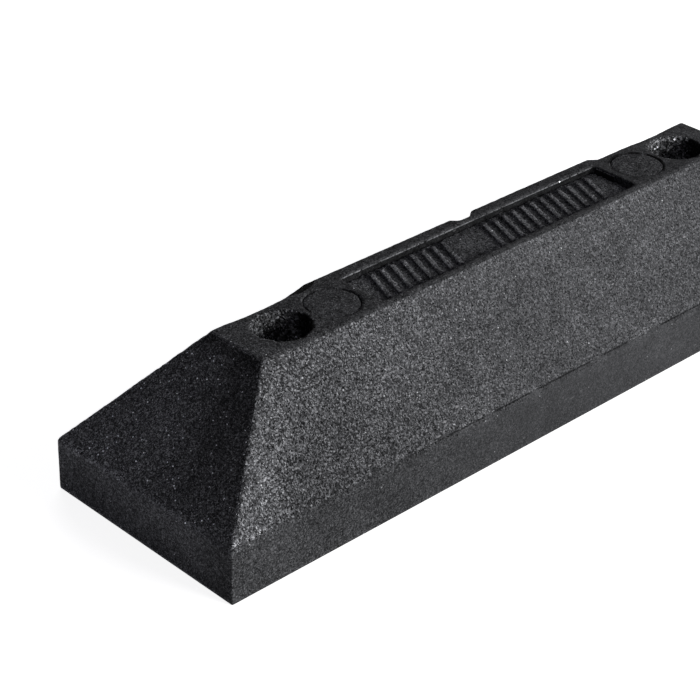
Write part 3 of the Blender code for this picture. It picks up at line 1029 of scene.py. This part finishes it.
def lathe(name, profile, centre):
    """A turned piece from a closed profile of (radius, height) points round an upright axis."""
    angles = [2.0 * math.pi * step / TURN_STEPS for step in range(TURN_STEPS)]
    rings = [
        [(centre + radius * math.cos(angle), radius * math.sin(angle), z) for radius, z in profile]
        for angle in angles]
    return ring_skin(name, rings, closed=True)


def rounded(profile, radius):
    """A closed profile with each of its corners rounded."""
    corners = [Vector(point) for point in profile]
    smooth = []
    for number, corner in enumerate(corners):
        before = corners[number - 1] - corner
        after = corners[(number + 1) % len(corners)] - corner
        start = corner + before.normalized() * min(radius, 0.45 * before.length)
        end = corner + after.normalized() * min(radius, 0.45 * after.length)
        for step in range(CORNER_STEPS + 1):
            share = step / CORNER_STEPS
            smooth.append(tuple(start.lerp(corner, share).lerp(corner.lerp(end, share), share)))
    return smooth


class WHEELSTOP_OT_fixings(Operator):
    """Make the sleeve, washer and ground screw of each fixing hole"""

    bl_idname = "wheel_stop.fixings"
    bl_label = "Fixings"

    def execute(self, context):
        settings = context.scene.stop_fixings
        sleeve_steel = plated_steel("Sleeve zinc", settings, tone_level=0.8, dullness=0.9)
        washer_steel = plated_steel("Washer zinc", settings, tone_level=1.0, dullness=0.6)
        screw_steel = plated_steel("Screw zinc", settings, tone_level=0.92, dullness=0.7)
        for side, centre in zip(SIDES, HOLE_CENTRES):
            sleeve = lathe(f"{side}_sleeve", self.sleeve_profile(settings, side, centre), centre)
            dress(sleeve, "block", f"{side}_bush", sleeve_steel)
            profile = self.washer_profile(settings, side, centre)
            washer = lathe(f"{side}_flat_washer", profile, centre)
            dress(washer, f"{side}_washer", f"{side}_washer", washer_steel)
            rings = self.screw_rings(settings, side, centre)
            screw = ring_skin(f"{side}_ground_screw", rings, closed=False)
            dress(screw, f"{side}_screw", f"{side}_screw", screw_steel)
        return {'FINISHED'}

    def sleeve_profile(self, settings, side, centre):
        """A tube with a flange round its top."""
        low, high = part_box(f"{side}_bush")
        bore, outer, flange = settings.bore / 2, settings.sleeve / 2, high.x - centre
        ledge = high.z - settings.flange
        corners = [(bore, low.z), (outer, low.z), (outer, ledge)]
        corners += [(flange, ledge), (flange, high.z), (bore, high.z)]
        return rounded(corners, settings.eased)

    def washer_profile(self, settings, side, centre):
        low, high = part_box(f"{side}_washer")
        bore, outer = settings.bore / 2, high.x - centre
        corners = [(bore, low.z), (outer, low.z), (outer, high.z), (bore, high.z)]
        return rounded(corners, settings.eased)

    def screw_rings(self, settings, side, centre):
        """Rings of points on the screw's skin, from its point up to its hexagon head."""
        low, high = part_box(f"{side}_screw")
        under = high.z - settings.head
        shank = settings.shank / 2
        count = math.ceil(settings.thread_length / settings.pitch * THREAD_ROWS)
        rows = []
        for step in range(count + 1):
            height = settings.thread_length * step / count
            turn = (height / settings.pitch - SCREW_TURNS / (2.0 * math.pi)) % 1.0
            ridge = np.clip(1.0 - np.abs(2.0 * turn - 1.0) / THREAD_SHARE, 0.0, 1.0)
            thread = (settings.core + (settings.shank - settings.core) * ridge) / 2
            cone = min(1.0, height / settings.point)
            cone = (settings.point_width + (settings.shank - settings.point_width) * cone) / 2
            rows.append((np.minimum(thread, cone), low.z + height))
        plain = low.z + settings.thread_length + settings.pitch / 4
        hexagon = settings.flats / 2 / np.cos(SCREW_TURNS % (math.pi / 3) - math.pi / 6)
        crown = 0.95 * settings.flats / 2
        slope = (hexagon - crown) * math.tan(HEAD_CHAMFER)
        dish = high.z - HEAD_DISH
        rows += [(shank, plain), (shank, under), (hexagon - HEAD_EASE, under)]
        rows += [(hexagon, under + HEAD_EASE), (hexagon, high.z - slope), (crown, high.z)]
        rows += [(0.74 * crown, high.z), (0.66 * crown, dish), (0.05 * crown, dish)]
        across, deep = np.cos(SCREW_TURNS), np.sin(SCREW_TURNS)
        return [
            np.stack(np.broadcast_arrays(centre + radius * across, radius * deep, z), 1)
            for radius, z in rows]


# Studio

def seen_directly(tree):
    """1 for rays from the camera, a reflection or glass, and 0 for light that falls on the stop."""
    path = add_node(tree, 'ShaderNodeLightPath').outputs
    mirrored = larger(tree, path["Is Glossy Ray"], path["Is Transmission Ray"])
    return larger(tree, path["Is Camera Ray"], mirrored)


def add_floor():
    bpy.ops.mesh.primitive_plane_add(size=FLOOR_SIZE, location=(0.0, 0.0, -FLOOR_DROP))
    floor = bpy.context.object
    floor.name = "studio_floor"
    material = bpy.data.materials.new("Pale floor")
    tree = clear_tree(material)
    place = add_node(tree, 'ShaderNodeTexCoord').outputs["Object"]
    reach = add_node(tree, 'ShaderNodeVectorMath', {0: place}, operation='LENGTH').outputs["Value"]
    paleness = remap(tree, reach, 0.4, 1.1, 0.87, 1.0)
    glow = add_node(
        tree, 'ShaderNodeEmission', {"Strength": times(tree, paleness, seen_directly(tree))})
    matt = add_node(tree, 'ShaderNodeBsdfDiffuse', {"Color": FLOOR_GREY})
    both = add_node(tree, 'ShaderNodeAddShader', {0: glow.outputs[0], 1: matt.outputs[0]})
    add_node(tree, 'ShaderNodeOutputMaterial', {0: both.outputs[0]})
    floor.data.materials.append(material)


def add_world(ambient):
    world = bpy.data.worlds.new("Pale room")
    tree = clear_tree(world)
    seen = seen_directly(tree)
    colour = mix_colour(tree, seen, ROOM_TINT, WHITE)
    level = straight(tree, seen, ambient, 1.0)
    background = add_node(tree, 'ShaderNodeBackground', {"Color": colour, "Strength": level})
    add_node(tree, 'ShaderNodeOutputWorld', {0: background.outputs[0]})
    bpy.context.scene.world = world


def add_soft_light(name, towards, box, level):
    """A soft box that makes white facing it as bright as level."""
    light = bpy.data.lights.new(name, 'AREA')
    light.shape = 'RECTANGLE'
    light.size, light.size_y = box
    light.energy = level * (math.pi * LIGHT_DISTANCE) ** 2
    lamp = link_object(name, light)
    direction = Vector(towards).normalized()
    lamp.location = direction * LIGHT_DISTANCE + Vector((0.0, 0.0, HEIGHT / 2))
    lamp.rotation_euler = direction.to_track_quat('Z', 'Y').to_euler()


def add_camera(settings):
    camera = bpy.data.cameras.new("Camera")
    camera.lens = settings.lens
    camera.sensor_width = SENSOR_WIDTH
    camera.sensor_fit = 'HORIZONTAL'
    camera.clip_start = 0.05
    holder = link_object("Camera", camera)
    flat = math.cos(settings.elevation)
    turn = settings.azimuth
    back = Vector((math.sin(turn) * flat, -math.cos(turn) * flat, math.sin(settings.elevation)))
    right = Vector((0.0, 0.0, 1.0)).cross(back).normalized()
    up = back.cross(right)
    lean, level = math.sin(settings.roll), math.cos(settings.roll)
    columns = Matrix((level * right + lean * up, level * up - lean * right, back)).transposed()
    holder.matrix_world = Matrix.Translation(settings.camera_place) @ columns.to_4x4()
    bpy.context.scene.camera = holder


class WHEELSTOP_OT_studio(Operator):
    """Set up the pale floor, the soft lights and the camera"""

    bl_idname = "wheel_stop.studio"
    bl_label = "Studio"

    def execute(self, context):
        settings = context.scene.stop_studio
        add_floor()
        add_world(settings.ambient)
        add_soft_light("Key", settings.key_from, KEY_BOX, settings.key_level)
        add_soft_light("Fill", settings.fill_from, FILL_BOX, settings.fill_level)
        add_camera(settings)
        context.scene.view_settings.view_transform = 'Standard'
        return {'FINISHED'}


class WHEELSTOP_PT_sidebar(Panel):
    """Lists the stop's pieces and their settings"""

    bl_idname = "WHEELSTOP_PT_sidebar"
    bl_label = "Wheel Stop"
    bl_space_type = 'VIEW_3D'
    bl_region_type = 'UI'
    bl_category = "Wheel Stop"

    def draw(self, context):
        layout = self.layout
        for operator in OPERATORS:
            layout.operator(operator.bl_idname)
        for name in GROUPS:
            column = layout.column()
            group = getattr(context.scene, name)
            for setting in group.__annotations__:
                column.prop(group, setting)


GROUPS = {
    "stop_granulate": GranulateSettings, "stop_fixings": FixingSettings, "stop_studio": StudioSettings}
OPERATORS = (
    WHEELSTOP_OT_block, WHEELSTOP_OT_tread, WHEELSTOP_OT_blanks, WHEELSTOP_OT_fixings,
    WHEELSTOP_OT_studio)


def register():
    for made in (*GROUPS.values(), *OPERATORS, WHEELSTOP_PT_sidebar):
        bpy.utils.register_class(made)
    for name, group in GROUPS.items():
        setattr(bpy.types.Scene, name, PointerProperty(type=group))


def unregister():
    for name in GROUPS:
        delattr(bpy.types.Scene, name)
    for made in (WHEELSTOP_PT_sidebar, *OPERATORS, *GROUPS.values()):
        bpy.utils.unregister_class(made)


def main():
    register()
    bpy.ops.wheel_stop.block()
    bpy.ops.wheel_stop.tread()
    bpy.ops.wheel_stop.blanks()
    bpy.ops.wheel_stop.fixings()
    bpy.ops.wheel_stop.studio()


if __name__ == "__main__":
    main()
